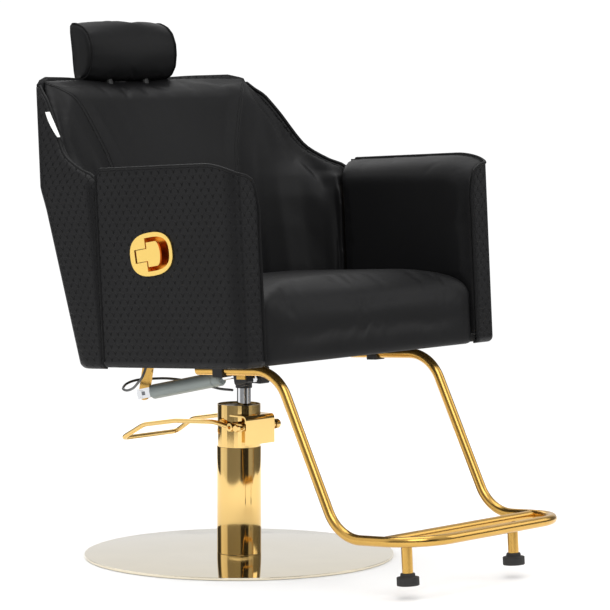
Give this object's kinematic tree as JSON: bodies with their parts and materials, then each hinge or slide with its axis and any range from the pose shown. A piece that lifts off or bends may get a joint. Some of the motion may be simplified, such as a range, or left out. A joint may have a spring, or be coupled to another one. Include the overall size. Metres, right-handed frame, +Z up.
{
  "type": "hydraulic barber chair",
  "caption": "Padded barber chair on a round disc base with a foot pump, swivel, reclining tub back, sliding headrest and bent tube footrest.",
  "frame": {"origin": "middle of the base disc's underside, on the floor", "axes": "+Z up, -Y the way the sitter faces, +X the sitter's left"},
  "size_m": [0.726, 0.9953, 1.0349],
  "materials": {
    "gold": "polished",
    "satin_gold": "satin",
    "bright_gold": "satin",
    "chrome": "polished",
    "steel": "satin",
    "black_steel": "satin",
    "grey_paint": "satin",
    "black_leather": "satin",
    "woven_leather": "matte",
    "rubber": "matte",
    "black_plastic": "satin",
    "wood": "matte"
  },
  "bodies": {
    "base": {"base_plate": "steel", "base_cover": "gold", "pump_foot_flange": "steel", "base_bolt_1": "steel", "base_bolt_2": "steel", "base_bolt_3": "steel", "base_bolt_4": "steel", "pump_sleeve": "gold", "pump_head_sleeve": "gold", "reservoir_tube": "steel", "cylinder_barrel": "steel", "pump_head_block": "black_steel", "rod_wiper_seal": "rubber", "pedal_bracket": "gold", "plunger_spring": "steel"},
    "pedal": {"pedal_axle": "gold", "pedal_loop": "gold"},
    "plunger": {"pump_plunger": "steel"},
    "lift": {"piston_rod": "chrome", "piston_head": "steel"},
    "seat": {"seat_socket": "black_steel", "socket_clamp_screw": "chrome", "mounting_plate": "black_steel", "seat_board": "wood", "seat_cushion": "black_leather", "arm_core_left": "wood", "arm_core_right": "wood", "arm_outer_left": "woven_leather", "arm_outer_right": "woven_leather", "arm_pad_left": "black_leather", "arm_pad_right": "black_leather", "hinge_bar_left": "satin_gold", "hinge_bar_right": "satin_gold", "handle_bezel": "bright_gold", "handle_pin": "steel", "footrest_tube": "satin_gold", "footrest_crossbar": "satin_gold", "foot_leg_left": "satin_gold", "foot_leg_right": "satin_gold", "foot_bumper_left": "rubber", "foot_bumper_right": "rubber", "footrest_clamp_left": "black_steel", "footrest_clamp_right": "black_steel", "gas_spring_bracket": "satin_gold", "release_cable": "black_plastic"},
    "handle": {"handle_flap": "bright_gold"},
    "back": {"back_shell": "woven_leather", "back_pad": "black_leather", "back_frame": "satin_gold", "recline_lever": "satin_gold", "post_guide_left": "black_plastic", "post_guide_right": "black_plastic"},
    "headrest": {"headrest_pad": "black_leather", "headrest_post_left": "chrome", "headrest_post_right": "chrome"},
    "spring_rod": {"release_head": "black_steel", "gas_spring_rod": "chrome"},
    "release": {"release_lever": "black_steel"},
    "spring_body": {"gas_spring_body": "grey_paint", "gas_spring_clevis": "chrome"}
  },
  "joints": [
    {"name": "height_lift", "type": "slide", "parent": "base", "child": "lift", "axis": [0, 0, 1], "range_m": [0, 0.15]},
    {"name": "swivel", "type": "hinge", "parent": "lift", "child": "seat", "pos_m": [0, -0.013, 0.35], "axis": [0, 0, 1], "continuous": true},
    {"name": "recline", "type": "hinge", "parent": "seat", "child": "back", "pos_m": [0, 0.05602, 0.38867], "axis": [-1, 0, 0], "range_deg": [0, 30]},
    {"name": "headrest_height", "type": "slide", "parent": "back", "child": "headrest", "axis": [0, 0.2996, 0.9541], "range_m": [0, 0.08]},
    {"name": "gas_spring_swing", "type": "hinge", "parent": "seat", "child": "spring_rod", "pos_m": [-0.19, -0.195, 0.383], "axis": [-1, 0, 0], "range_deg": [0, 2]},
    {"name": "gas_spring_stroke", "type": "slide", "parent": "spring_rod", "child": "spring_body", "axis": [0, -0.9775, 0.2109], "range_m": [0, 0.033]},
    {"name": "recline_handle", "type": "hinge", "parent": "seat", "child": "handle", "pos_m": [-0.3565, -0.09364, 0.60448], "axis": [0, -0.1736, -0.9848], "range_deg": [0, 35], "stiffness_Nm_per_rad": 0.3, "springref_deg": -11.46},
    {"name": "release_lever_tilt", "type": "hinge", "parent": "spring_rod", "child": "release", "pos_m": [-0.19, -0.19404, 0.36847], "axis": [-1, 0, 0], "range_deg": [0, 8.5]},
    {"name": "foot_pedal", "type": "hinge", "parent": "base", "child": "pedal", "pos_m": [0, -0.0478, 0.256], "axis": [-1, 0, 0], "range_deg": [0, 18], "stiffness_Nm_per_rad": 10, "springref_deg": -17.19},
    {"name": "pump_stroke", "type": "slide", "parent": "base", "child": "plunger", "axis": [0, 0, -1], "range_m": [0, 0.0078], "deforming": ["plunger_spring"]}
  ],
  "couplings": [
    {"joint": "gas_spring_swing", "follows": "recline", "ratio": 0.052},
    {"joint": "gas_spring_stroke", "follows": "recline", "m_per_rad": 0.0615},
    {"joint": "release_lever_tilt", "follows": "recline_handle", "ratio": 0.2286},
    {"joint": "pump_stroke", "follows": "foot_pedal", "m_per_rad": 0.0242}
  ]
}
